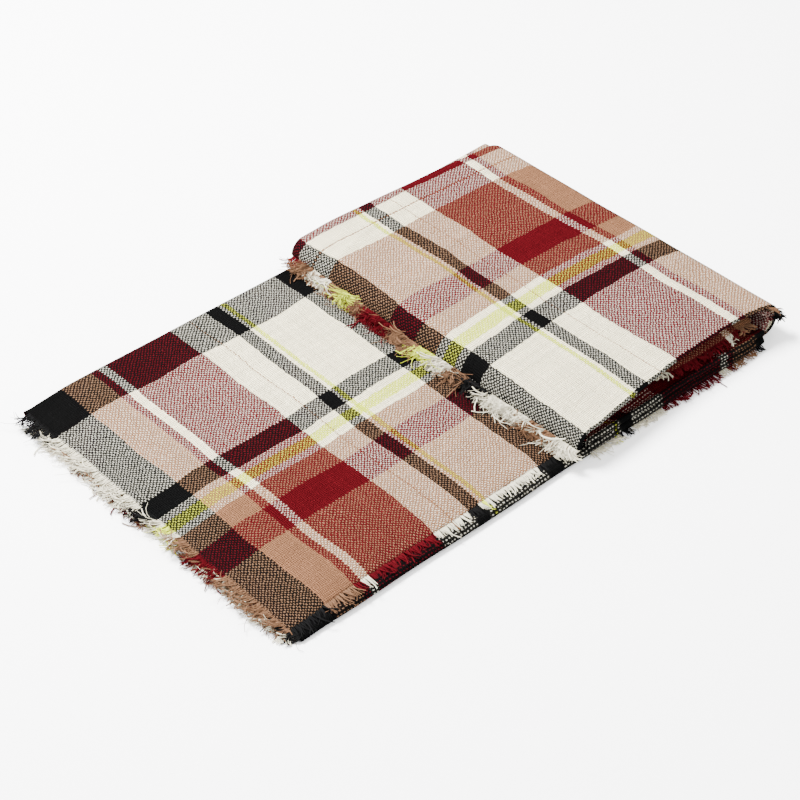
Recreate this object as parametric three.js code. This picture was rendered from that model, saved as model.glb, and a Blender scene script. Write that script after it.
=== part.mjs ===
// A square blanket scarf, folded lengthwise into a strip and then doubled over
// at its right end, lying on a flat surface. Millimetres, +Z up, +X along the
// strip to the doubled end, +Y from the raw front edge to the back fold.
import * as THREE from 'three';

// The cloth and its folds
const CLOTH = 2.5; // thickness of the woven cloth
const GAP = 0.3; // clearance between pieces that lie on each other
const FRINGE = 22; // length of the frayed yarns past each raw edge
const STRIP_WIDTH = 586; // raw front edge to back fold
const STRIP_LENGTH = 949; // raw left end to the doubled end
const STRIP_HEIGHT = 22; // three layers of the strip
const BLOCK_LEFT = 533; // where the doubled part begins
const BLOCK_HEIGHT = 60; // height of the doubled part
const FRONT_OVERHANG = 22; // how far the folded front edge passes the raw edge
const UNDER_BLOCK = 29.5; // height of the strip under the doubled part
const BLOCK_FRONT = -18; // front edge of the block's top layer
const BLOCK_LIP = 4; // radius of that edge's roll
const BLOCK_BACK_RADIUS = 13; // radius of the block's back fold
const MOUTH_DEPTH = 46; // how far the open front mouth of the block goes in
const MOUTH_LAYER_HEIGHT = 40; // the loose raw edge that lies in the mouth
const YARN_ROW = 2; // height of one row of frayed yarns
const ROW_INSET = 12; // how far the rows of yarns stop short of the back fold
const STRIP_NOSE_HEIGHT = 13; // height of the strip's front fold
const STRIP_LEAF = 3; // where the strip's upper leaf has its front edge
const BLOCK_NOSE_HEIGHT = 17; // height of the front fold under the block
const BLOCK_NOSE_REACH = 4; // how far that fold passes the strip's front fold
const OVERLAP = 12; // how far the strip's top layer goes in under the block
const LEVEL_RUN = 22; // from the block's left edge to where its top is level
const MOUTH_CHAMFER = 8; // slope of the inner layers at the mouth
const MOUTH_LAYER_DROOP = 5; // how far the loose edge in the mouth hangs
const LOWER_YARN_REACH = 24; // how far the yarns under the block pass its edge
const WOOL = { roughness: 0.95, metalness: 0 };

const cream = new THREE.MeshStandardMaterial({ color: '#e8dfd0', ...WOOL });
const camel = new THREE.MeshStandardMaterial({ color: '#c69c74', ...WOOL });
const red = new THREE.MeshStandardMaterial({ color: '#8a1220', ...WOOL });
const black = new THREE.MeshStandardMaterial({ color: '#1b1b1d', ...WOOL });

// Points of an arc in a plane, from one angle to another in degrees
function arc(a, b, radius, from, to, steps) {
  const points = [];
  for (let i = 0; i <= steps; i += 1) {
    const angle = THREE.MathUtils.degToRad(from + ((to - from) * i) / steps);
    points.push([a + radius * Math.cos(angle), b + radius * Math.sin(angle)]);
  }
  return points;
}

// Evenly spaced values from a to b, both ends included
function spaced(a, b, count) {
  return Array.from({ length: count + 1 }, (_, i) => a + ((b - a) * i) / count);
}

function meshFrom(name, positions, triangles, material) {
  const geometry = new THREE.BufferGeometry();
  geometry.setAttribute('position', new THREE.Float32BufferAttribute(positions, 3));
  geometry.setIndex(triangles);
  geometry.computeVertexNormals();
  const mesh = new THREE.Mesh(geometry, material);
  mesh.name = name;
  return mesh;
}

// A closed solid lofted along X through rings of [y, z] points, anticlockwise
// as seen from +X. Each station is { x, ring } and all rings match in count.
function loft(name, stations, material) {
  const count = stations[0].ring.length;
  const positions = stations.flatMap(({ x, ring }) => ring.flatMap(([y, z]) => [x, y, z]));
  const triangles = [];
  for (let s = 0; s < stations.length - 1; s += 1) {
    for (let i = 0; i < count; i += 1) {
      const next = (i + 1) % count;
      const a = s * count + i;
      const b = s * count + next;
      triangles.push(a, b, a + count, b, b + count, a + count);
    }
  }
  const cap = (ring, offset, flip) => {
    const outline = ring.map(([y, z]) => new THREE.Vector2(y, z));
    THREE.ShapeUtils.triangulateShape(outline, []).forEach(([i, j, k]) => {
      triangles.push(...(flip ? [i, k, j] : [i, j, k]).map((n) => n + offset));
    });
  };
  cap(stations[0].ring, 0, true);
  cap(stations.at(-1).ring, (stations.length - 1) * count, false);
  return meshFrom(name, positions, triangles, material);
}

// A cloth wall between an outer and an inner surface. surface(i, j) gives the
// outer point and its outward normal for column i and row j.
function wall(name, columns, rows, surface, thickness, material) {
  const positions = [];
  for (const depth of [0, thickness]) {
    for (let i = 0; i <= columns; i += 1) {
      for (let j = 0; j <= rows; j += 1) {
        const { point, normal } = surface(i, j);
        positions.push(...point.clone().addScaledVector(normal, -depth).toArray());
      }
    }
  }
  const stride = rows + 1;
  const inner = (columns + 1) * stride;
  const triangles = [];
  const quad = (a, b, c, d) => triangles.push(a, b, c, a, c, d);
  for (let i = 0; i < columns; i += 1) {
    for (let j = 0; j < rows; j += 1) {
      const a = i * stride + j;
      quad(a, a + stride, a + stride + 1, a + 1);
      quad(a + inner, a + 1 + inner, a + stride + 1 + inner, a + stride + inner);
    }
  }
  for (let i = 0; i < columns; i += 1) {
    const a = i * stride;
    const b = a + rows;
    quad(a, a + inner, a + stride + inner, a + stride);
    quad(b, b + stride, b + stride + inner, b + inner);
  }
  for (let j = 0; j < rows; j += 1) {
    const b = columns * stride + j;
    quad(j, j + 1, j + 1 + inner, j + inner);
    quad(b, b + inner, b + 1 + inner, b + 1);
  }
  return meshFrom(name, positions, triangles, material);
}

// A path in a plane with the unit normal on its left at each point. The ends
// take their direction from three points, so that an arc meets its tangent.
function withNormals(points) {
  const last = points.length - 1;
  const along = (i, k) => {
    if (i === 0) return 4 * points[1][k] - 3 * points[0][k] - points[2][k];
    if (i === last) return 3 * points[last][k] - 4 * points[last - 1][k] + points[last - 2][k];
    return points[i + 1][k] - points[i - 1][k];
  };
  return points.map(([a, b], i) => {
    const length = Math.hypot(along(i, 0), along(i, 1));
    return { a, b, na: -along(i, 1) / length, nb: along(i, 0) / length };
  });
}

// A cloth wall with the same section at every station along X
function wallAlongX(name, points, stations, material) {
  const section = withNormals(points);
  const surface = (i, j) => {
    const { a, b, na, nb } = section[j];
    return {
      point: new THREE.Vector3(stations[i], a, b),
      normal: new THREE.Vector3(0, na, nb),
    };
  };
  return wall(name, stations.length - 1, section.length - 1, surface, CLOTH, material);
}

const scarf = new THREE.Group();
const stripTopEnd = BLOCK_LEFT + OVERLAP;
const wrapRadius = BLOCK_HEIGHT / 2;
const wrapAxis = STRIP_LENGTH - wrapRadius;
const flatStart = BLOCK_LEFT + LEVEL_RUN;

// The strip's top layer: from its raw front edge back over the fold to the floor
{
  const radius = STRIP_HEIGHT / 2;
  const axis = STRIP_WIDTH - radius;
  const points = [
    ...spaced(0, axis, 12).slice(0, -1).map((y) => [y, STRIP_HEIGHT]),
    ...arc(axis, radius, radius, 90, -90, 12),
  ];
  scarf.add(wallAlongX('strip_top_layer', points, spaced(0, stripTopEnd, 10), cream));
}

// A section through hidden layers that share one solid: flat below, with a
// rounded front fold, a second leaf above it, and a round back fold.
function layeredSection({ nose, noseHeight, leaf, top, back, step }) {
  const noseRadius = noseHeight / 2;
  const leafRadius = (top - noseHeight) / 2;
  const backRadius = (top - step) / 2;
  const backAxis = back - backRadius;
  const heelEdge = backAxis - 2 * GAP;
  const heel = step > 0 ? [[heelEdge, step]] : [];
  return [
    [heelEdge, 0],
    ...heel,
    ...arc(backAxis, step + backRadius, backRadius, -90, 90, 12).slice(1),
    ...arc(leaf + leafRadius, noseHeight + leafRadius, leafRadius, 90, 210, 4),
    [leaf + 3 * leafRadius, noseHeight + GAP],
    ...arc(nose + noseRadius, noseRadius, noseRadius, 90, 270, 8),
  ];
}

// The strip's lower layers, which show at the front fold and at the left end
{
  const ring = layeredSection({
    nose: -FRONT_OVERHANG,
    noseHeight: STRIP_NOSE_HEIGHT,
    leaf: STRIP_LEAF,
    top: STRIP_HEIGHT - CLOTH - GAP,
    back: STRIP_WIDTH - CLOTH - GAP,
    step: CLOTH + GAP,
  });
  const stations = spaced(2, stripTopEnd, 8).map((x) => ({ x, ring }));
  scarf.add(loft('strip_lower_layers', stations, black));
}

// The strip's layers under the block, with the folded edges that show in front
{
  const ring = layeredSection({
    nose: -FRONT_OVERHANG - BLOCK_NOSE_REACH,
    noseHeight: BLOCK_NOSE_HEIGHT,
    leaf: -FRONT_OVERHANG,
    top: UNDER_BLOCK,
    back: STRIP_WIDTH,
    step: 0,
  });
  const stations = spaced(stripTopEnd + GAP, wrapAxis - 1, 6).map((x) => ({ x, ring }));
  scarf.add(loft('block_lower_layers', stations, red));
}

// The doubled layers between the strip and the block's top layer: set back at
// the front, where the block is open like a mouth, and round at the back.
{
  const low = UNDER_BLOCK + GAP;
  const high = BLOCK_HEIGHT - CLOTH - GAP;
  const radius = BLOCK_BACK_RADIUS - CLOTH - GAP;
  const axis = STRIP_WIDTH - BLOCK_BACK_RADIUS;
  const ring = [
    [MOUTH_DEPTH, low],
    [axis, low],
    ...arc(axis, high - radius, radius, -60, 90, 8),
    [MOUTH_DEPTH + MOUTH_CHAMFER, high],
    [MOUTH_DEPTH, high - MOUTH_CHAMFER],
  ];
  const stations = spaced(flatStart, wrapAxis - 1, 6).map((x) => ({ x, ring }));
  scarf.add(loft('block_upper_layers', stations, camel));
}

// The layers inside the doubled end, a half round that the top layer wraps
{
  const inside = wrapRadius - CLOTH - GAP;
  const front = BLOCK_FRONT + BLOCK_LIP;
  const ring = arc(wrapAxis, wrapRadius, inside, 90, -90, 12);
  const stations = spaced(-(STRIP_WIDTH - BLOCK_BACK_RADIUS - 3), -front, 4);
  const rings = stations.map((x) => ({ x, ring: ring.toReversed() }));
  const mesh = loft('block_end_layers', rings, black);
  mesh.geometry.applyMatrix4(new THREE.Matrix4().makeRotationZ(-Math.PI / 2));
  scarf.add(mesh);
}

// The block's top layer: it droops at its raw left end, rolls over the front
// edge and the back fold, and turns down round the doubled end to the floor.
{
  const droop = [
    { past: -16, drop: 29 },
    { past: -12, drop: 20 },
    { past: -6, drop: 10 },
    { past: 0, drop: 4 },
    { past: 8, drop: 1 },
  ].map(({ past, drop }) => [BLOCK_LEFT + past, BLOCK_HEIGHT - drop]);
  const flat = spaced(flatStart, wrapAxis, 8).slice(0, -1).map((x) => [x, BLOCK_HEIGHT]);
  const wrap = arc(wrapAxis, wrapRadius, wrapRadius, 90, -90, 14);
  const length = withNormals([...droop, ...flat, ...wrap]);
  const rolled = length.length - wrap.length;

  // Across the block: [y, depth below the top surface]
  const roll = (axis, radius, side, from, to, steps) => spaced(from, to, steps)
    .map((degrees) => THREE.MathUtils.degToRad(degrees))
    .map((angle) => [axis + side * radius * Math.sin(angle), radius * (1 - Math.cos(angle))]);
  const lipAxis = BLOCK_FRONT + BLOCK_LIP;
  const backAxis = STRIP_WIDTH - BLOCK_BACK_RADIUS;
  const frontRoll = roll(lipAxis, BLOCK_LIP, -1, 90, 0, 4);
  const across = [
    ...frontRoll,
    ...spaced(lipAxis, backAxis, 10).slice(1, -1).map((y) => [y, 0]),
    ...roll(backAxis, BLOCK_BACK_RADIUS, 1, 0, 140, 9),
  ];
  // The front edge is rolled along the top and lies flat round the doubled end,
  // and the back fold closes up towards the drooping end.
  const depthAt = (i, j) => {
    if (j < frontRoll.length) return i >= rolled ? 0 : across[j][1];
    return across[j][1] * Math.min(1, 0.4 + (0.6 * i) / droop.length);
  };
  const surface = (i, j) => {
    const { a, b, na, nb } = length[i];
    const before = Math.max(j - 1, 0);
    const after = Math.min(j + 1, across.length - 1);
    const rise = depthAt(i, after) - depthAt(i, before);
    const width = across[after][0] - across[before][0];
    const run = Math.hypot(rise, width);
    const depth = depthAt(i, j);
    return {
      point: new THREE.Vector3(a - na * depth, across[j][0], b - nb * depth),
      normal: new THREE.Vector3((na * width) / run, rise / run, (nb * width) / run),
    };
  };
  scarf.add(wall('block_top_layer', length.length - 1, across.length - 1, surface, CLOTH, cream));
}

// The loose raw edge that shows inside the block's mouth
{
  const points = [
    [-2, MOUTH_LAYER_HEIGHT - MOUTH_LAYER_DROOP],
    [12, MOUTH_LAYER_HEIGHT],
    [26, MOUTH_LAYER_HEIGHT],
    [MOUTH_DEPTH - GAP, MOUTH_LAYER_HEIGHT - 4],
  ];
  scarf.add(wallAlongX('block_mouth_layer', points, spaced(BLOCK_LEFT + 20, wrapAxis - 2, 8), red));
}

// A plain solid of the reach of a row of frayed yarns. root and tip are [how far
// out of the scarf's front or left side, height of the row's top]. The row runs
// along X at the front, or along Y at a left end.
function fringe({ name, along, from, to, root, tip, material }) {
  const ring = [
    [-root[0], root[1] - YARN_ROW],
    [-root[0], root[1]],
    [-tip[0], tip[1]],
    [-tip[0], tip[1] - YARN_ROW],
  ];
  const turned = along === 'y';
  const ends = turned ? [-to, -from] : [from, to];
  const mesh = loft(name, spaced(ends[0], ends[1], 4).map((x) => ({ x, ring })), material);
  if (turned) mesh.geometry.applyMatrix4(new THREE.Matrix4().makeRotationZ(-Math.PI / 2));
  scarf.add(mesh);
}

const stripBack = STRIP_WIDTH - ROW_INSET;
const belowTop = STRIP_HEIGHT - CLOTH;
const onStrip = STRIP_HEIGHT + GAP + YARN_ROW;
const blockEnd = wrapAxis - 2;
const yarnRows = [
  {
    name: 'fringe_strip_front', along: 'x', from: 2, to: BLOCK_LEFT - 20,
    root: [GAP, STRIP_HEIGHT], tip: [FRINGE - 4, STRIP_HEIGHT - 7], material: red,
  },
  {
    name: 'fringe_left_top', along: 'y', from: 3, to: stripBack,
    root: [GAP, STRIP_HEIGHT], tip: [FRINGE, belowTop - 3], material: cream,
  },
  {
    name: 'fringe_left_middle', along: 'y', from: 6, to: stripBack,
    root: [GAP - 2, 12], tip: [FRINGE - 2, 9], material: camel,
  },
  {
    name: 'fringe_left_floor', along: 'y', from: -8, to: stripBack,
    root: [GAP - 2, YARN_ROW], tip: [FRINGE, YARN_ROW], material: red,
  },
  {
    name: 'fringe_block_left', along: 'y', from: BLOCK_FRONT + 8, to: stripBack,
    root: [GAP + 16 - BLOCK_LEFT, 33], tip: [36 - BLOCK_LEFT, onStrip], material: camel,
  },
  {
    name: 'fringe_block_left_lower', along: 'y', from: 8, to: stripBack,
    root: [-12 - BLOCK_LEFT, onStrip], tip: [LOWER_YARN_REACH - BLOCK_LEFT, onStrip], material: red,
  },
  {
    name: 'fringe_mouth', along: 'x', from: BLOCK_LEFT + 20, to: blockEnd,
    root: [2 + GAP, MOUTH_LAYER_HEIGHT - MOUTH_LAYER_DROOP],
    tip: [FRINGE - 2, MOUTH_LAYER_HEIGHT - 8], material: camel,
  },
  {
    name: 'fringe_floor_front', along: 'x', from: BLOCK_LEFT + 14, to: blockEnd,
    root: [FRONT_OVERHANG + GAP + 1, YARN_ROW], tip: [FRONT_OVERHANG + FRINGE, YARN_ROW], material: black,
  },
];
yarnRows.forEach(fringe);

// The origin is under the middle of the whole scarf, on the surface it lies on
const middle = new THREE.Box3().setFromObject(scarf).getCenter(new THREE.Vector3());
scarf.position.set(-middle.x, -middle.y, 0);

export default scarf;
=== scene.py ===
import math
import random

import bmesh
import bpy
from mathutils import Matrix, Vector, noise


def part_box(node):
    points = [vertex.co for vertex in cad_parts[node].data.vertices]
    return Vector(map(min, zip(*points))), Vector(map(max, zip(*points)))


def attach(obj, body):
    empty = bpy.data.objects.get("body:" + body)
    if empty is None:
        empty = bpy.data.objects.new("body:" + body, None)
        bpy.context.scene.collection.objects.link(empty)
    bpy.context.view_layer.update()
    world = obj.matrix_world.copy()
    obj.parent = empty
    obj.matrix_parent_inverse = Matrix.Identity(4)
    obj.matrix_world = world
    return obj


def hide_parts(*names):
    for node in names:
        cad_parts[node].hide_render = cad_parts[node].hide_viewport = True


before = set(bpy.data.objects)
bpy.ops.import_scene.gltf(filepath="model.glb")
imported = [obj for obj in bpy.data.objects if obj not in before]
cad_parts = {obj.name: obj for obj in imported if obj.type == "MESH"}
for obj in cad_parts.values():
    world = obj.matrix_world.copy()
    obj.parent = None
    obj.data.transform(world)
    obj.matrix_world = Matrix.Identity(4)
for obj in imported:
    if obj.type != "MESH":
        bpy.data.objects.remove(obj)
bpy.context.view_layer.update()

# ---------------------------------------------------------------------------
# The stage: a matt white paper floor, soft studio light from above and behind,
# and a long lens that looks down along the scarf from its front left corner.

MM = 0.001
scarf_low, scarf_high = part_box("strip_top_layer")


def linear(hex_colour):
    """An sRGB hex colour as linear RGBA."""
    channels = [int(hex_colour[i : i + 2], 16) / 255 for i in (1, 3, 5)]
    return [c / 12.92 if c <= 0.04045 else ((c + 0.055) / 1.055) ** 2.4 for c in channels] + [1.0]


def at(x, y, z):
    """A place in the scene from mm along, across and above the scarf's corner."""
    return Vector((scarf_low.x + x * MM, scarf_low.y + y * MM, scarf_low.z + z * MM))


FLOOR_HALF = 8.0  # metres
floor_mesh = bpy.data.meshes.new("floor")
floor_bm = bmesh.new()
bmesh.ops.create_grid(floor_bm, x_segments=1, y_segments=1, size=FLOOR_HALF)
floor_bm.to_mesh(floor_mesh)
floor_bm.free()
# Matt coated paper: even, nearly white, with hardly any shine
paper = bpy.data.materials.new("white_paper_sweep")
paper.use_nodes = True
paper_tree = paper.node_tree
paper_shader = paper_tree.nodes["Principled BSDF"]
paper_shader.inputs["Base Color"].default_value = linear("#FFFFFF")
paper_shader.inputs["Roughness"].default_value = 0.9
paper_shader.inputs["Specular IOR Level"].default_value = 0.1
floor_mesh.materials.append(paper)
floor = bpy.data.objects.new("floor", floor_mesh)
bpy.context.collection.objects.link(floor)

world = bpy.data.worlds.new("studio")
world.use_nodes = True
bpy.context.scene.world = world
background = world.node_tree.nodes["Background"]
background.inputs["Color"].default_value = (1.0, 1.0, 1.0, 1.0)
background.inputs["Strength"].default_value = 2.7


def soft_light(name, place, aim, size, power):
    data = bpy.data.lights.new(name, "AREA")
    data.shape, data.size, data.energy = "DISK", size, power
    light = bpy.data.objects.new(name, data)
    light.location = place
    light.rotation_euler = (Vector(aim) - Vector(place)).to_track_quat("-Z", "Y").to_euler()
    bpy.context.collection.objects.link(light)


soft_light("key_light", place=(-0.5, 1.7, 2.9), aim=(0.0, 0.0, 0.0), size=1.4, power=840)
soft_light("fill_light", place=(0.6, -2.4, 2.2), aim=(0.0, 0.0, 0.0), size=2.0, power=20)

LENS, SENSOR = 117.0, 36.0  # mm
CAMERA_PLACE = (-1508.8, -1871.0, 2520.6)  # mm from the scarf's front left corner
camera_data = bpy.data.cameras.new("camera")
camera_data.lens = LENS
camera_data.sensor_width = SENSOR
camera = bpy.data.objects.new("camera", camera_data)
camera.location = at(*CAMERA_PLACE)
HEADING, DOWN = math.radians(47.57), math.radians(41.26)
look = Vector((math.cos(DOWN) * math.cos(HEADING), math.cos(DOWN) * math.sin(HEADING), -math.sin(DOWN)))
camera.rotation_euler = look.to_track_quat("-Z", "Y").to_euler()
bpy.context.collection.objects.link(camera)
bpy.context.scene.camera = camera

# ---------------------------------------------------------------------------
# The strip's lower layers. The scarf is one square of soft acrylic cloth, folded
# lengthwise: its lowest layer comes forward on the surface, folds at the front
# a little past the raw edge above it, and is tucked back between the layers.

block_low, block_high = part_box("block_top_layer")
STRIP_WIDTH = (scarf_high.y - scarf_low.y) / MM
STRIP_HEIGHT = (scarf_high.z - scarf_low.z) / MM
SCARF_RIGHT = (block_high.x - scarf_low.x) / MM
BLOCK_HEIGHT = (block_high.z - block_low.z) / MM
BLOCK_LEFT = 533.0  # mm from the strip's left end to the block's
STRIP_END = BLOCK_LEFT + 20
strip_back = STRIP_WIDTH - STRIP_HEIGHT / 2

YARN_COLOURS = {
    "black": "#131313",
    "cream": "#E6DFC6",
    "camel": "#89664D",
    "red": "#571219",
    "yellow": "#C3CD42",
}

# The plaid along the scarf's length, from the middle of its widest black band
# out to the middle of the narrow one, where it turns and comes back.
# Columns: where the band ends in mm, the yarn's colour.
LENGTH_BANDS = [
    (31, "black"),
    (84, "camel"),
    (96.5, "red"),
    (112, "cream"),
    (233, "red"),
    (265.5, "cream"),
    (268.5, "camel"),
    (296, "cream"),
    (319, "black"),
    (325, "cream"),
    (331, "yellow"),
    (434, "cream"),
    (450, "black"),
]
LENGTH_START = 31.0  # the raw left edge lies this far before the first middle
LENGTH_TURN = 450.0

# The plaid across the scarf, which repeats and doesn't turn.
WIDTH_BANDS = [
    (133, "camel"),
    (190, "red"),
    (231, "camel"),
    (243, "cream"),
    (264, "yellow"),
    (279, "cream"),
    (316, "black"),
    (505, "cream"),
    (585, "black"),
    (617, "red"),
    (650, "cream"),
    (653, "camel"),
    (688, "cream"),
]
WIDTH_REPEAT = 688.0


def band_colour(bands, position):
    for end, colour in bands:
        if position < end:
            return colour
    return bands[-1][1]


def length_colour(t):
    """The colour of the yarn that lies at t mm from the raw left edge."""
    phase = (t - LENGTH_START) % (2 * LENGTH_TURN)
    return band_colour(LENGTH_BANDS, min(phase, 2 * LENGTH_TURN - phase))


def width_colour(s):
    """The colour of the yarn that lies at s mm from the raw front edge."""
    return band_colour(WIDTH_BANDS, s % WIDTH_REPEAT)


def add(tree, kind, inputs=None, **settings):
    """Adds a node, sets its properties, and links or sets its inputs."""
    node = tree.nodes.new(kind)
    for key, value in settings.items():
        setattr(node, key, value)
    for key, value in (inputs or {}).items():
        if isinstance(value, bpy.types.NodeSocket):
            tree.links.new(value, node.inputs[key])
        else:
            node.inputs[key].default_value = value
    return node


def bands_ramp(tree, factor, bands, whole):
    """A ramp of hard-edged colour bands over a factor from 0 to 1."""
    ramp = add(tree, "ShaderNodeValToRGB", {0: factor})
    stops = ramp.color_ramp.elements
    ramp.color_ramp.interpolation = "CONSTANT"
    start = 0.0
    stops[0].position, stops[0].color = 0.0, linear(YARN_COLOURS[bands[0][1]])
    stops.remove(stops[1])
    for end, colour in bands:
        if start > 0:
            stops.new(start).color = linear(YARN_COLOURS[colour])
        start = end / whole
    return ramp.outputs["Color"]


YARN_PITCH = 1.5  # mm from one yarn to the next, drawn coarser than the real one so that it shows
WANDER_WAVES, WANDER = 130.0, 0.0052  # waves to the metre, and metres: about half a yarn
SWAY_WAVES, SWAY = 7.0, 0.016  # waves to the metre, and metres: a few mm
NAP_WAVES = 850.0  # to the metre: tufts of nap a little over 1 mm wide
WORN_WAVES = 26.0  # to the metre: patches about 40 mm wide
FELTED = 0.3  # how far the nap hides which of two yarns is on top
PAINTED_BOUNCE = 0.55  # painted bounce light and shade: how strongly a yarn's colour is multiplied toward the colour of those beside it
DIMMED = 0.42  # painted shade: how much a pale yarn is darkened beside a dark one
DARK_EDGE = 0.5  # how far a dark yarn shows round the edges of the pale ones over it


def woven_plaid(name, tight=None):
    """Acrylic yarn, softly napped, woven two and two: pairs of yarns pass over
    pairs, turn about, so that the cloth looks pebbled and mixes its two colours
    where two bands cross. Over a tight fold, given as a stretch across the cut
    in mm, the crossing yarns crowd and leave only rows of dots of the others."""
    material = bpy.data.materials.new(name)
    material.use_nodes = True
    tree = material.node_tree
    tree.nodes.clear()
    uv = add(tree, "ShaderNodeUVMap", uv_map="weave").outputs[0]
    # Loose cloth: each yarn wanders by up to half of its width, and the whole
    # weave sways a few mm where the cloth was tugged
    loose = uv
    for waves, detail, reach in ((WANDER_WAVES, 3.0, WANDER), (SWAY_WAVES, 1.0, SWAY)):
        drift = add(tree, "ShaderNodeTexNoise", {"Vector": uv, "Scale": waves, "Detail": detail})
        centred = add(
            tree,
            "ShaderNodeVectorMath",
            {0: drift.outputs["Color"], 1: (0.5, 0.5, 0.5)},
            operation="SUBTRACT",
        )
        shift = add(
            tree, "ShaderNodeVectorMath", {0: centred.outputs[0], "Scale": reach}, operation="SCALE"
        )
        moved = add(tree, "ShaderNodeVectorMath", {0: loose, 1: shift.outputs[0]}, operation="ADD")
        loose = moved.outputs[0]
    place = add(tree, "ShaderNodeSeparateXYZ", {0: loose})
    yarn, pair, across, bow = {}, {}, {}, {}
    for way, other, socket in (("t", "s", 0), ("s", "t", 1)):
        run = place.outputs[socket]
        count = add(tree, "ShaderNodeMath", {0: run, 1: YARN_PITCH * MM}, operation="DIVIDE")
        yarn[way] = add(tree, "ShaderNodeMath", {0: count.outputs[0]}, operation="FLOOR").outputs[0]
        half = add(tree, "ShaderNodeMath", {0: count.outputs[0], 1: 0.5}, operation="MULTIPLY")
        pair[way] = add(tree, "ShaderNodeMath", {0: half.outputs[0]}, operation="FLOOR").outputs[0]
        turn_over = add(tree, "ShaderNodeMath", {0: count.outputs[0], 1: math.pi}, operation="MULTIPLY")
        wave = add(tree, "ShaderNodeMath", {0: turn_over.outputs[0]}, operation="SINE")
        across[way] = add(tree, "ShaderNodeMath", {0: wave.outputs[0]}, operation="ABSOLUTE").outputs[0]
        slow = add(tree, "ShaderNodeMath", {0: half.outputs[0], 1: math.pi}, operation="MULTIPLY")
        arch = add(tree, "ShaderNodeMath", {0: slow.outputs[0]}, operation="SINE")
        bow[other] = add(tree, "ShaderNodeMath", {0: arch.outputs[0]}, operation="ABSOLUTE").outputs[0]
    both = add(tree, "ShaderNodeMath", {0: pair["t"], 1: pair["s"]}, operation="ADD")
    step = add(tree, "ShaderNodeMath", {0: both.outputs[0], 1: 2.0}, operation="FLOORED_MODULO")
    over = add(tree, "ShaderNodeMath", {0: step.outputs[0], 1: 0.5}, operation="LESS_THAN").outputs[0]
    if tight:
        middle, half_width = (tight[0] + tight[1]) / 2, (tight[1] - tight[0]) / 2
        crowded = add(
            tree,
            "ShaderNodeMath",
            {0: place.outputs[1], 1: middle * MM, 2: half_width * MM},
            operation="COMPARE",
        )
        second = add(tree, "ShaderNodeMath", {0: pair["s"], 1: 2.0}, operation="FLOORED_MODULO")
        hidden = add(
            tree, "ShaderNodeMath", {0: crowded.outputs[0], 1: second.outputs[0]}, operation="MULTIPLY"
        )
        seen = add(
            tree, "ShaderNodeMath", {0: over, 1: hidden.outputs[0]}, operation="SUBTRACT", use_clamp=True
        )
        over = seen.outputs[0]

    # The two yarns' colours, each from its own place in the plaid
    colour = {}
    for way, bands, whole in (("t", LENGTH_BANDS, LENGTH_TURN), ("s", WIDTH_BANDS, WIDTH_REPEAT)):
        spot = add(tree, "ShaderNodeMath", {0: yarn[way], 1: YARN_PITCH}, operation="MULTIPLY")
        # No yarn lies outside the raw edge
        inside = add(tree, "ShaderNodeMath", {0: spot.outputs[0], 1: 0.0}, operation="MAXIMUM")
        middle = inside.outputs[0]
        if way == "t":
            turned = add(tree, "ShaderNodeMath", {0: middle, 1: LENGTH_START}, operation="SUBTRACT")
            phase = add(tree, "ShaderNodeMath", {0: turned.outputs[0], 1: whole}, operation="PINGPONG")
        else:
            phase = add(tree, "ShaderNodeMath", {0: middle, 1: whole}, operation="FLOORED_MODULO")
        factor = add(tree, "ShaderNodeMath", {0: phase.outputs[0], 1: whole}, operation="DIVIDE")
        flat = bands_ramp(tree, factor.outputs[0], bands, whole)
        # One yarn is a little paler or darker than the next
        chance = add(tree, "ShaderNodeTexWhiteNoise", {"W": yarn[way]}, noise_dimensions="1D")
        shade = add(tree, "ShaderNodeMapRange", {0: chance.outputs[0], 3: 0.86, 4: 1.1})
        colour[way] = add(
            tree,
            "ShaderNodeMix",
            {0: 1.0, 6: flat, 7: shade.outputs[0]},
            data_type="RGBA",
            blend_type="MULTIPLY",
        ).outputs[2]
    # Loose fibres of the nap blur the two
    where = add(tree, "ShaderNodeTexCoord")
    nap = add(
        tree, "ShaderNodeTexNoise", {"Vector": where.outputs["Object"], "Scale": NAP_WAVES, "Detail": 3.0}
    ).outputs[0]
    fuzz = add(tree, "ShaderNodeMapRange", {0: nap, 1: 0.6, 2: 0.8, 3: 0.0, 4: FELTED}).outputs[0]
    shift = add(tree, "ShaderNodeMath", {0: over, 1: fuzz}, operation="SUBTRACT")
    shown = add(tree, "ShaderNodeMath", {0: shift.outputs[0]}, operation="ABSOLUTE").outputs[0]
    upper = add(
        tree, "ShaderNodeMix", {0: shown, 6: colour["s"], 7: colour["t"]}, data_type="RGBA"
    ).outputs[2]
    lower = add(
        tree, "ShaderNodeMix", {0: shown, 6: colour["t"], 7: colour["s"]}, data_type="RGBA"
    ).outputs[2]
    # Painted bounce light and shade: the yarn on top is multiplied toward the colour of the yarn beside it
    top = add(
        tree, "ShaderNodeMix", {0: PAINTED_BOUNCE, 6: upper, 7: lower}, data_type="RGBA", blend_type="MULTIPLY"
    ).outputs[2]

    # Painted shade: a pale yarn between dark ones is painted dimmer than in a band of its own
    unlike = add(
        tree, "ShaderNodeMix", {0: 1.0, 6: upper, 7: lower}, data_type="RGBA", blend_type="DIFFERENCE"
    ).outputs[2]
    dimmed = add(
        tree,
        "ShaderNodeMix",
        {0: DIMMED, 6: (1, 1, 1, 1), 7: unlike},
        data_type="RGBA",
        blend_type="SUBTRACT",
    ).outputs[2]
    top = add(
        tree, "ShaderNodeMix", {0: 1.0, 6: top, 7: dimmed}, data_type="RGBA", blend_type="MULTIPLY"
    ).outputs[2]

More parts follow.
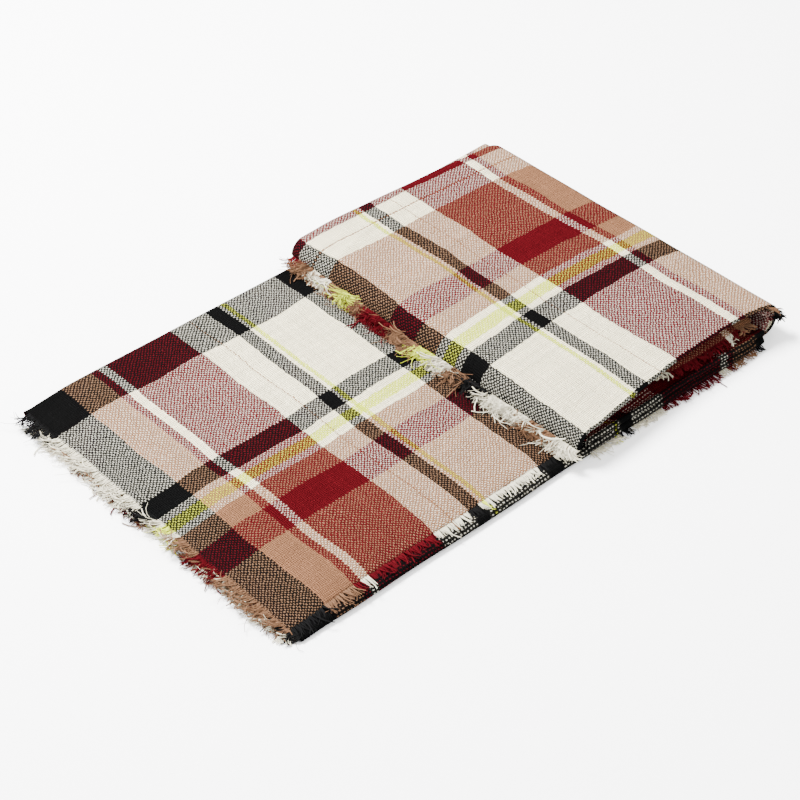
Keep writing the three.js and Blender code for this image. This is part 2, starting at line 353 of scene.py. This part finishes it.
    # The height of the yarn on top: round across, and bowed along its float
    rise = {}
    for way in ("t", "s"):
        round_top = add(tree, "ShaderNodeMath", {0: across[way], 1: 0.35}, operation="POWER")
        bowed = add(tree, "ShaderNodeMath", {0: bow[way], 1: 0.7}, operation="POWER")
        rise[way] = add(
            tree, "ShaderNodeMath", {0: round_top.outputs[0], 1: bowed.outputs[0]}, operation="MULTIPLY"
        ).outputs[0]
    height = add(
        tree, "ShaderNodeMix", {0: over, 2: rise["s"], 3: rise["t"]}, data_type="FLOAT"
    ).outputs[0]

    # Round the edges of a float it is the darker yarn that catches the eye
    edge = add(tree, "ShaderNodeMapRange", {0: height, 1: 0.9, 2: 0.66, 3: 0.0, 4: DARK_EDGE}).outputs[0]
    darker = add(
        tree, "ShaderNodeMix", {0: 1.0, 6: top, 7: lower}, data_type="RGBA", blend_type="DARKEN"
    ).outputs[2]
    top = add(tree, "ShaderNodeMix", {0: edge, 6: top, 7: darker}, data_type="RGBA").outputs[2]

    # Shade sinks between the yarns
    depth = add(tree, "ShaderNodeMapRange", {0: height, 1: 0.2, 2: 0.85, 3: 0.05, 4: 1.25})
    shaded = add(
        tree,
        "ShaderNodeMix",
        {0: 1.0, 6: top, 7: depth.outputs[0]},
        data_type="RGBA",
        blend_type="MULTIPLY",
    ).outputs[2]
    # and the cloth is a little paler where it was handled
    patchy = add(
        tree, "ShaderNodeTexNoise", {"Vector": where.outputs["Object"], "Scale": WORN_WAVES, "Detail": 2.0}
    ).outputs[0]
    worn = add(tree, "ShaderNodeMapRange", {0: patchy, 1: 0.3, 2: 0.7, 3: 0.94, 4: 1.04})
    colour_out = add(
        tree,
        "ShaderNodeMix",
        {0: 1.0, 6: shaded, 7: worn.outputs[0]},
        data_type="RGBA",
        blend_type="MULTIPLY",
    ).outputs[2]
    lumps = add(tree, "ShaderNodeMath", {0: nap, 1: 0.35, 2: height}, operation="MULTIPLY_ADD")
    bump = add(tree, "ShaderNodeBump", {"Strength": 0.9, "Distance": 0.0011, "Height": lumps.outputs[0]})
    shader = add(
        tree,
        "ShaderNodeBsdfPrincipled",
        {"Base Color": colour_out, "Roughness": 0.95, "Normal": bump.outputs[0], "Specular IOR Level": 0.0},
    )
    add(tree, "ShaderNodeOutputMaterial", {0: shader.outputs[0]})
    return material


PLAID = woven_plaid("acrylic_paired_weave_plaid")
CLOTH = 1.9  # mm thickness of the cloth


def smooth(x):
    x = min(max(x, 0.0), 1.0)
    return x * x * (3 - 2 * x)


def arc(a, b, radius, start, end, steps=10):
    """Points on an arc about (a, b), from one angle in degrees to another."""
    angles = [math.radians(start + (end - start) * k / steps) for k in range(steps + 1)]
    return [(a + radius * math.cos(angle), b + radius * math.sin(angle)) for angle in angles]


class Path:
    """A line of points in a plane, read by the distance run along it."""

    def __init__(self, points):
        self.points = points
        self.run = [0.0]
        for p, q in zip(points, points[1:]):
            self.run.append(self.run[-1] + math.dist(p, q))
        self.length = self.run[-1]

    def at(self, distance):
        distance = min(max(distance, 0.0), self.length)
        k = 0
        while k < len(self.points) - 2 and self.run[k + 1] < distance:
            k += 1
        span = self.run[k + 1] - self.run[k]
        share = (distance - self.run[k]) / span if span else 0.0
        (a, b), (c, d) = self.points[k], self.points[k + 1]
        return a + (c - a) * share, b + (d - b) * share

    def normal(self, distance, reach=1.5):
        """The unit normal on the left of the path."""
        a, b = self.at(distance - reach)
        c, d = self.at(distance + reach)
        size = math.dist((a, b), (c, d))
        return -(d - b) / size, (c - a) / size


def ripple(x, y, size, seed):
    """A soft unevenness of about 1, with waves about size mm long."""
    return noise.noise(Vector((x / size, y / size, seed * 7.31)))


def cloth(name, wide, long, place, cell=4.0, weave_material=PLAID):
    """A sheet of cloth from a flat grid. place(a, b) takes mm over the flat
    grid and gives where that point lies and its two places in the plaid."""
    columns, rows = max(2, round(wide / cell)), max(2, round(long / cell))
    bm = bmesh.new()
    bmesh.ops.create_grid(bm, x_segments=columns, y_segments=rows, size=0.5)
    weave = bm.loops.layers.uv.new("weave")
    spots = {}
    for vertex in bm.verts:
        spots[vertex] = place((vertex.co.x + 0.5) * wide, (vertex.co.y + 0.5) * long)
    for vertex, (x, y, z, t, s) in spots.items():
        vertex.co = at(x, y, z)
    for face in bm.faces:
        face.smooth = True
        for loop in face.loops:
            t, s = spots[loop.vert][3:]
            loop[weave].uv = (t * MM, s * MM)
    mesh = bpy.data.meshes.new(name)
    bm.to_mesh(mesh)
    bm.free()
    mesh.materials.append(weave_material)
    piece = bpy.data.objects.new(name, mesh)
    bpy.context.collection.objects.link(piece)
    wall = piece.modifiers.new("wall", "SOLIDIFY")
    wall.thickness = CLOTH * MM
    wall.offset = -1.0
    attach(piece, "root")
    return piece


def flatten(x):
    """How far the strip's layers are pressed flat near their raw left end."""
    return 0.62 + 0.38 * smooth(x / 90)


UNDER_NOSE = 6.2  # mm radius of the front fold
FRONT_FOLD = -25.0  # mm the front fold lies from the raw edge above it
FOLD_BAND = 1208.0  # mm across the cut where that fold lies
FLOOR_GAP = 0.3  # mm from the surface to the lowest face
UNDER_TUCK_EDGE = 212.0  # mm of raw left edge that the tucked part shows
under_run = STRIP_END - 4
under_path = Path(
    [(strip_back - 2, FLOOR_GAP), (FRONT_FOLD + UNDER_NOSE, FLOOR_GAP)]
    + arc(FRONT_FOLD + UNDER_NOSE, FLOOR_GAP + UNDER_NOSE, UNDER_NOSE, -90, -270, 12)[1:]
    + [(60.0, 13.2), (190.0, 13.4)]
)
under_flat = strip_back - 2 - FRONT_FOLD - UNDER_NOSE


def strip_under(a, b):
    y, z = under_path.at(b)
    nose = 1 - smooth(abs(b - under_flat - 10) / 40)
    y += nose * 2.2 * ripple(a, 0, 90, 5)
    x = 2.5 + a + 2.5 * ripple(b, 0, 80, 6) * smooth(1 - a / 100)
    if z > 1:
        z = max(0.4, z * flatten(a))
    return x, y, z, x, FOLD_BAND + b - under_flat - 9


front_fold_plaid = woven_plaid("acrylic_paired_weave_front_fold", (FOLD_BAND - 16, FOLD_BAND + 26))
under = cloth(
    "strip_under_cloth", under_run, under_path.length, strip_under, weave_material=front_fold_plaid
)
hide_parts("strip_lower_layers")

FIBRE_WAVES = 700.0  # to the metre: bundles of fibres about 1.4 mm long
# Loose yarns shade each other, and that shade is painted into their colour, so that they look darker than
# the cloth
YARN_PAINTED_SHADE = {"black": 1.0, "cream": 0.7, "camel": 0.52, "red": 0.6, "yellow": 0.85}


def loose_yarn(colour):
    """Soft two-ply acrylic yarn, matt, with fibres that catch a little light; the fibres' light and shade
    and the yarns' shade on each other are painted into its colour.
    """
    painted_shade = YARN_PAINTED_SHADE[colour]
    material = bpy.data.materials.new(f"acrylic_yarn_{colour}")
    material.use_nodes = True
    tree = material.node_tree
    tree.nodes.clear()
    where = add(tree, "ShaderNodeTexCoord")
    fibres = add(
        tree, "ShaderNodeTexNoise", {"Vector": where.outputs["Object"], "Scale": FIBRE_WAVES, "Detail": 2.0}
    )
    # Painted light and shade: fibre noise lightens and darkens the colour, scaled down by the yarn's
    # painted shade
    shade = add(
        tree, "ShaderNodeMapRange", {0: fibres.outputs[0], 1: 0.3, 2: 0.7, 3: 0.6 * painted_shade, 4: 1.05 * painted_shade}
    )
    tint = add(
        tree,
        "ShaderNodeMix",
        {0: 1.0, 6: linear(YARN_COLOURS[colour]), 7: shade.outputs[0]},
        data_type="RGBA",
        blend_type="MULTIPLY",
    )
    bump = add(tree, "ShaderNodeBump", {"Strength": 0.5, "Distance": 0.0003, "Height": fibres.outputs[0]})
    shader = add(
        tree,
        "ShaderNodeBsdfPrincipled",
        {"Base Color": tint.outputs[2], "Roughness": 0.95, "Normal": bump.outputs[0],
         "Specular IOR Level": 0.0},
    )
    add(tree, "ShaderNodeOutputMaterial", {0: shader.outputs[0]})
    return material


YARN_MATERIALS = {colour: loose_yarn(colour) for colour in YARN_COLOURS}
YARN_ORDER = list(YARN_COLOURS)


def fringe(
    name, node, length, root, reach, seed, ground=1.7, drop=4.0, curl=1.0, lean=0.0, spacing=2.4, strands=2
):
    """A row of loose yarns. root(e) gives, at e mm along the raw edge, the
    yarn's foot, the way it leaves the edge and its colour. The yarns gather in
    tufts, sink by drop over their reach and don't go below the ground, in mm.
    Each foot has one thick yarn, and finer strands that came loose from it."""
    chance = random.Random(seed)
    curve = bpy.data.curves.new(name, "CURVE")
    curve.dimensions = "3D"
    curve.bevel_depth = 1.0 * MM
    curve.bevel_resolution = 0
    curve.use_fill_caps = True
    for colour in YARN_ORDER:
        curve.materials.append(YARN_MATERIALS[colour])
    steps = 7
    tuft_start, tuft_end = 0.0, 0.0
    e = 0.0
    while e < length:
        if e >= tuft_end:
            tuft_start, tuft_end = e, e + chance.uniform(5, 15)
            yaw = lean + chance.gauss(0, 0.25 * curl)
            tuft_reach = chance.uniform(0.75, 1.08)
            lift = chance.gauss(0.02, 0.2) * curl
            gather = chance.uniform(0.25, 0.75)
        foot, out, colour = root(e)
        along = Vector((abs(out.y), abs(out.x), 0))
        side = Vector((-out.y, out.x, 0))
        for strand in range(strands):
            thick = strand == 0
            radius = chance.uniform(1.1, 1.55) if thick else chance.uniform(0.35, 0.6)
            own_reach = reach * tuft_reach * chance.uniform(0.82, 1.1)
            if chance.random() < 0.03:
                own_reach *= 1.6
            own_yaw = yaw + chance.gauss(0, 0.08 + 0.1 * curl) * (1 if thick else 1.8)
            own_lift = lift + chance.gauss(0.0, 0.08 + 0.08 * curl)
            bend = chance.gauss(0, 0.45 * curl)
            wave, turn = chance.uniform(0.3, 0.9) * curl, chance.uniform(0, math.tau)
            start = foot + along * chance.uniform(-0.4, 0.4)
            middle = (tuft_start + tuft_end) / 2 - e
            spline = curve.splines.new("POLY")
            spline.points.add(steps - 1)
            spline.material_index = YARN_ORDER.index(colour)
            for k, point in enumerate(spline.points):
                share = k / (steps - 1)
                run = -2.0 + (own_reach + 2.0) * share
                heading = own_yaw * share + bend * share * share
                sideways = run * math.sin(heading) + wave * math.sin(turn + share * 7)
                height = start.z + own_lift * max(run, 0) - drop * share * share
                height += wave * math.cos(turn + share * 6) * share
                spot = start + out * (run * math.cos(heading)) + side * sideways
                spot += along * (middle * gather * share)
                spot.z = max(height, ground)
                point.co = (*at(*spot), 1.0)
                point.radius = radius * (1.0 - 0.35 * share)
        e += spacing * chance.uniform(0.8, 1.2)
    rope = bpy.data.objects.new(name + "_curve", curve)
    bpy.context.collection.objects.link(rope)
    bpy.context.view_layer.update()
    solid = rope.evaluated_get(bpy.context.evaluated_depsgraph_get())
    mesh = bpy.data.meshes.new_from_object(solid)
    bpy.data.objects.remove(rope)
    bpy.data.curves.remove(curve)
    mesh.name = name
    piece = bpy.data.objects.new(name, mesh)
    bpy.context.collection.objects.link(piece)
    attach(piece, "root")
    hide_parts(node)
    return piece


LEFT = Vector((-1, 0, 0))


def left_middle_root(e):
    x, y, z, t, s = strip_under(0.0, under_path.length - e)
    return Vector((x, y, z - 0.9)), LEFT, width_colour(s)


def left_floor_root(e):
    x, y, z, t, s = strip_under(0.0, under_flat - e)
    return Vector((x, y, z + 0.9)), LEFT, width_colour(s)


left_middle = fringe(
    "loose_yarns_left_middle", "fringe_left_middle", UNDER_TUCK_EDGE, left_middle_root,
    reach=22, seed=13, drop=4, lean=-0.2,
)
left_floor = fringe(
    "loose_yarns_left_floor", "fringe_left_floor", under_flat - 8, left_floor_root,
    reach=26, seed=14, drop=0, lean=-0.2,
)

# ---------------------------------------------------------------------------
# The strip's top layer. One layer of the same cloth, lying loose on the layers
# below it, with a raw front edge, a raw left edge and a soft fold at the back.
# Both raw edges end in a fringe of their own yarns.


def creases(x, y, marks):
    """Soft ridges and troughs that the folding left. Each mark is its middle,
    its heading in degrees, its reach, its width and its height, in mm."""
    rise = 0.0
    for mid_x, mid_y, heading, reach, width, height in marks:
        c, d = math.cos(math.radians(heading)), math.sin(math.radians(heading))
        u, v = (x - mid_x) * c + (y - mid_y) * d, (y - mid_y) * c - (x - mid_x) * d
        rise += height * math.exp(-((u / reach) ** 2) - (v / width) ** 2)
    return rise


# Columns: the middle along and across, the heading, the reach, the width, the height
STRIP_CREASES = [
    (96, 330, 86, 150, 9, 2.2),
    (182, 120, 94, 90, 12, -1.6),
    (300, 290, 80, 120, 10, 2.0),
    (300, 430, 8, 110, 9, -1.5),
    (410, 180, 98, 110, 11, 2.1),
    (470, 420, 76, 80, 9, 1.8),
    (240, 500, -6, 90, 8, 1.9),
]
strip_roll = STRIP_HEIGHT / 2 - 0.2
strip_path = Path(
    [(0.0, 15.5), (8.0, 17.5), (24.0, 20.6), (50.0, 21.6), (strip_back, 21.6)]
    + arc(strip_back, STRIP_HEIGHT / 2, strip_roll, 88, -88)
)


def strip_top(a, b):
    y, z = strip_path.at(b)
    edge = smooth(1 - a / 60) + smooth(1 - b / 60)
    inside = smooth(b / 40) * smooth((strip_path.length - b) / 60)
    z = z * flatten(a) + inside * 1.3 * ripple(a, b, 90, 1)
    z += creases(a, b, STRIP_CREASES)
    # The front edge wanders, and the back fold lies up to 8 mm askew
    front_wander = 3.0 * ripple(a, 0, 110, 2) * smooth(1 - b / 200)
    askew = (8 - 0.024 * a) * smooth((y - 380) / 200)
    y += front_wander + askew
    x = a + 2.2 * ripple(b, 0, 70, 3) * smooth(1 - a / 120)
    # The raw edges cockle a little
    z += 1.2 * edge * ripple(a, b, 22, 4)
    return x, y, z, a, b


strip = cloth("strip_top_cloth", STRIP_END, strip_path.length, strip_top)
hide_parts("strip_top_layer")


FRONT = Vector((0, -1, 0))


def strip_front_root(e):
    x, y, z, t, s = strip_top(e, 0.0)
    return Vector((x, y, z - 0.9)), FRONT, length_colour(t)


def left_top_root(e):
    x, y, z, t, s = strip_top(0.0, e)
    return Vector((x, y, z - 0.9)), LEFT, width_colour(s)


strip_front = fringe(
    "loose_yarns_strip_front", "fringe_strip_front", BLOCK_LEFT - 22, strip_front_root,
    reach=21, seed=11, drop=5, curl=0.5, spacing=2.0,
)
left_top = fringe(
    "loose_yarns_left_top", "fringe_left_top", strip_path.length - 36, left_top_root,
    reach=29, seed=12, drop=5, lean=-0.45, strands=3,
)

# ---------------------------------------------------------------------------
# The strip's layers under the block, of the same cloth. The front shows two
# folded edges, one above the other, the back is the soft fold of the whole
# bundle, and yarns of a raw edge stand out along the surface.

under_top = 29.2  # mm height of the bundle
under_back = STRIP_WIDTH - under_top / 2
block_under_path = Path(
    [(150.0, under_top), (40.0, under_top), (22.0, 27.5), (8.0, 20.0), (-6.0, 19.5)]
    + arc(-19.0, 24.0, 4.8, 40, 262, 10)
    + [(-8.0, 19.0), (-7.0, 17.6), (-9.0, 16.6)]
    + arc(-16.5, 8.6, 8.2, 98, 270, 10)
    + [(under_back, FLOOR_GAP)]
    + arc(under_back, under_top / 2, under_top / 2 - FLOOR_GAP, -90, 90, 12)[1:]
    + [(under_back - 60, under_top)]
)
block_start = STRIP_END - 6
wrap_radius = BLOCK_HEIGHT / 2
wrap_axis = SCARF_RIGHT - wrap_radius
bundle_run = wrap_axis - 2 - block_start
BLOCK_UNDER_BAND = 1446.0  # mm across the cut where this sheet's inner edge lies


def block_under(a, b):
    y, z = block_under_path.at(b)
    x = block_start + a
    # Both folded edges wander, and lean back along the block
    front = smooth(1 - (y + 30) / 60)
    y += front * (2.5 * ripple(x, 0, 60, 7) - 5 * smooth((x - 600) / 250))
    z += front * smooth(z / 14) * 2.2 * ripple(x, z, 50, 8)
    if y > STRIP_WIDTH - 60:
        y += 2.0 * ripple(x, z, 60, 9)
    return x, y, max(z, FLOOR_GAP), x, BLOCK_UNDER_BAND - b


# The grid runs forward over the top and back along the surface, so its faces
# are turned to look out of the bundle.
double_fold_plaid = woven_plaid(
    "acrylic_paired_weave_double_fold", (BLOCK_UNDER_BAND - 245, BLOCK_UNDER_BAND - 120)
)
block_bundle = cloth(
    "block_under_cloth", bundle_run, block_under_path.length, block_under, weave_material=double_fold_plaid
)
block_bundle.data.flip_normals()
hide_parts("block_lower_layers")


def floor_front_root(e):
    x = block_start + 4 + e
    return Vector((x, -17 - 5 * smooth((x - 600) / 250), 1.4)), FRONT, length_colour(x)


floor_front = fringe(
    "loose_yarns_floor_front", "fringe_floor_front", wrap_axis - block_start - 8, floor_front_root,
    reach=21, seed=18, drop=0, curl=0.7,
)

# ---------------------------------------------------------------------------
# The block's inner layers. The last part of the square, of the same cloth and
# tucked in under the top layer, runs to the back fold and forward again on the
# strip below.

inner_high, inner_low = BLOCK_HEIGHT - 4.6, 34.5
inner_radius = (inner_high - inner_low) / 2
inner_back = STRIP_WIDTH - 15
inner_run = wrap_axis - BLOCK_LEFT - 20
DOUBLED = 949.0  # mm along the cut to the doubled end, where the bands turn back
inner_path = Path(
    [(2.0, inner_high - 3), (26.0, inner_high - 0.6), (inner_back, inner_high)]
    + arc(inner_back, inner_low + inner_radius, inner_radius, 90, -90, 12)[1:]
    + [(120.0, inner_low)]
)


def block_inner(a, b):
    y, z = inner_path.at(b)
    x = BLOCK_LEFT + 16 + a
    z += 1.0 * ripple(x, b, 60, 10) * (1 if z < inner_high - 2 else 0.4)
    y += 4 * ripple(x, 0, 60, 11) * smooth(1 - b / 60)
    return x, y, z, 2 * DOUBLED - x, FOLD_BAND + b


inner = cloth("block_inner_cloth", inner_run, inner_path.length, block_inner, cell=5.0)
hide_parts("block_upper_layers")

# ---------------------------------------------------------------------------
# The layers that turn inside the doubled end. Three rounds of the same cloth
# lie loose, one inside the next, and their edges show at the open front.

# Columns: radius in mm, and 1 where the round runs down or -1 where it runs up
turn_rounds = [(24.6, 1), (18.0, -1), (11.4, 1)]
turn_points = []
for radius, sense in turn_rounds:
    turn_points += arc(wrap_axis, wrap_radius, radius, 88 * sense, -88 * sense, 12)
turn_path = Path(turn_points)
TURN_WIDTH = STRIP_WIDTH - 26
TURN_BAND, TURN_FRONT_BAND = 979.0, 1150.0  # mm along and across the cut at its front top corner


def skew(y):
    """How far the doubled end lies past its square place, which is uneven."""
    return 10 - 20 * y / STRIP_WIDTH


def block_turn(a, b):
    x, z = turn_path.at(b)
    y = -12 + a
    x += 1.2 * ripple(y, b, 40, 12) + skew(y)
    return x, y + 3 * ripple(b, 0, 20, 13), z, TURN_BAND + b, TURN_FRONT_BAND - a


turn = cloth("block_turned_cloth", TURN_WIDTH, turn_path.length, block_turn)
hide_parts("block_end_layers")

# ---------------------------------------------------------------------------
# The block's top layer. It is the strip's lowest layer, brought over: raw and
# drooping at its left end, folded under at the front, round at the back fold,
# and turned down round the doubled end on the right.

BLOCK_BACK_RADIUS = 13.0
BLOCK_LIP = 3.2
END_BAND = 1398.0  # mm along the cut at the raw end
FRONT_BAND = 1193.0  # mm across the cut at the block's front edge
PULL = 1.013  # the doubled layer is drawn a little tight from front to back
droop_path = [
    (BLOCK_LEFT - 14, 29.5),
    (BLOCK_LEFT - 12.5, 37.0),
    (BLOCK_LEFT - 9.0, 46.0),
    (BLOCK_LEFT - 3.5, 53.5),
    (BLOCK_LEFT + 4, 58.2),
    (BLOCK_LEFT + 16, 59.8),
]
length_path = Path(
    droop_path + [(wrap_axis, BLOCK_HEIGHT)] + arc(wrap_axis, wrap_radius, wrap_radius, 90, -88, 16)[1:]
)
lip_run = math.radians(100) * BLOCK_LIP
back_run = math.radians(150) * BLOCK_BACK_RADIUS


def front_edge(x):
    """Where the block's folded front edge lies, which is bowed along the block."""
    return -27 + 21 * smooth((x - BLOCK_LEFT) / 260) - 11 * smooth((x - 850) / 100)


def back_edge(x):
    return 599 - 0.075 * (x - BLOCK_LEFT)


# Columns as for the strip's creases
BLOCK_CREASES = [
    (640, 500, 4, 90, 8, -1.8),
    (600, 525, 14, 120, 7, 2.4),
    (628, 330, 88, 120, 10, 2.6),
    (668, 410, 70, 60, 7, 1.9),
    (716, 150, 84, 110, 9, -1.6),
    (742, 420, 12, 110, 10, 2.4),
    (822, 250, 95, 130, 11, 2.5),
    (868, 480, 80, 70, 9, -1.5),
    (900, 120, 92, 90, 10, 2.2),
    (850, 40, 78, 60, 8, 2.0),
]


def block_top(a, b):
    along = length_path.at(a)
    nx, nz = length_path.normal(a)
    front, back = front_edge(along[0]), back_edge(along[0])
    flat = back - front - BLOCK_BACK_RADIUS - BLOCK_LIP
    b_flat = (b - lip_run) / (block_across - lip_run - back_run)
    # Under at the front fold, flat across, then down round the back fold
    if b < lip_run:
        angle = (lip_run - b) / BLOCK_LIP
        y = front + BLOCK_LIP * (1 - math.sin(angle))
        depth = BLOCK_LIP * (1 - math.cos(angle))
    elif b_flat <= 1:
        y, depth = front + BLOCK_LIP + flat * b_flat, 0.0
    else:
        angle = (b - block_across + back_run) / BLOCK_BACK_RADIUS
        y = back - BLOCK_BACK_RADIUS * (1 - math.sin(angle))
        depth = BLOCK_BACK_RADIUS * (1 - math.cos(angle))
    open_end = smooth((a - 4) / 60)
    depth *= 0.35 + 0.65 * open_end if b_flat > 1 else 1.0
    x, z = along[0] - nx * depth, along[1] - nz * depth
    turned = smooth((along[0] - BLOCK_LEFT) / 330)
    x += turned * skew(y)
    # The raw end bows out between its corners
    lean = smooth(1 - a / 40)
    x += lean * (5 * ripple(y, 0, 120, 14) - 8 * math.sin(math.pi * min(max(y, 0) / STRIP_WIDTH, 1)))
    up = smooth(z / 50)
    z += up * (1.4 * ripple(x, y, 95, 15) + creases(x, y, BLOCK_CREASES))
    # The left end sags at its back corner and droops at its front one
    corner = math.exp(-(((x - BLOCK_LEFT) / 46) ** 2 + ((y - 590) / 46) ** 2))
    z -= 7 * corner
    z -= up * 5.0 * math.exp(-(((x - BLOCK_LEFT) / 60) ** 2 + ((y + 20) / 60) ** 2))
    return x, y, z, END_BAND - a, FRONT_BAND + lip_run - PULL * b


block_across = back_edge(740) - front_edge(740) - BLOCK_BACK_RADIUS - BLOCK_LIP + lip_run + back_run
block = cloth("block_top_cloth", length_path.length, block_across, block_top)
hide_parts("block_top_layer")

# The yarns at the block's left edge come from two layers that lie askew, so
# that their bands, in mm from the front, don't follow the cloth above them.
EDGE_BANDS = [
    (38, "cream"),
    (84, "camel"),
    (158, "cream"),
    (205, "black"),
    (236, "camel"),
    (268, "cream"),
    (300, "yellow"),
    (352, "camel"),
    (415, "red"),
    (440, "camel"),
    (462, "yellow"),
    (492, "camel"),
    (506, "cream"),
    (518, "camel"),
    (532, "cream"),
    (568, "camel"),
    (590, "red"),
]


EDGE_GROUND = 23.6  # mm height of the strip that these yarns lie on


def block_left_root(e):
    x, y, z, t, s = block_top(0.0, e + 4)
    down_left = Vector((-0.94, 0, -0.34))
    return Vector((x + 0.8, y, z + 0.5)), down_left, band_colour(EDGE_BANDS, e)


def block_left_lower_root(e):
    foot = Vector((BLOCK_LEFT - 10 + 3 * ripple(e, 0, 40, 18), e + 6, 25.5))
    return foot, LEFT, band_colour(EDGE_BANDS, e)


block_left = fringe(
    "loose_yarns_block_left", "fringe_block_left", block_across - back_run, block_left_root,
    reach=30, seed=15, ground=EDGE_GROUND, drop=7, spacing=1.8, strands=5,
)
block_left_lower = fringe(
    "loose_yarns_block_left_lower", "fringe_block_left_lower", STRIP_WIDTH - 12, block_left_lower_root,
    reach=36, seed=16, ground=EDGE_GROUND, drop=1, spacing=1.9, strands=4,
)

# ---------------------------------------------------------------------------
# The loose raw edge inside the block's mouth. The strip's top layer, brought
# over, ends here with its fringe; the edge waves between the folds above and
# below it.

mouth_path = Path([(-2.0, 37.0), (10.0, 40.5), (26.0, 42.0), (70.0, 42.0)])
MOUTH_START = BLOCK_LEFT + 172
MOUTH_WIDTH = wrap_axis - 4 - MOUTH_START


def mouth(a, b):
    y, z = mouth_path.at(b)
    x = MOUTH_START + a
    wave = smooth(1 - b / 50)
    z += wave * (5.5 * ripple(x, 0, 46, 16) - 2)
    y += wave * 5 * ripple(x, 0, 50, 17) + 20 * smooth((745 - x) / 40)
    return x, y, z, 2 * DOUBLED - x, b


mouth_cloth = cloth("block_mouth_cloth", MOUTH_WIDTH, mouth_path.length, mouth)
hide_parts("block_mouth_layer")

MOUTH_RUN = MOUTH_WIDTH - 4  # mm of fringe on the mouth's edge
END_RUN = 60.0  # mm of it on round the folded edge of the doubled end


def mouth_root(e):
    if e > MOUTH_RUN:
        x, y, z, t, s = block_top(length_path.length - 86 + e - MOUTH_RUN, 0.0)
        return Vector((x - 1.5, y + 1, z)), Vector((0.5, -0.87, 0)), length_colour(t)
    x, y, z, t, s = mouth(e, 0.0)
    return Vector((x, y, z - 0.9)), FRONT, length_colour(t)


mouth_fringe = fringe(
    "loose_yarns_mouth", "fringe_mouth", MOUTH_RUN + END_RUN, mouth_root,
    reach=16, seed=17, ground=29.8, drop=4, curl=0.8,
)
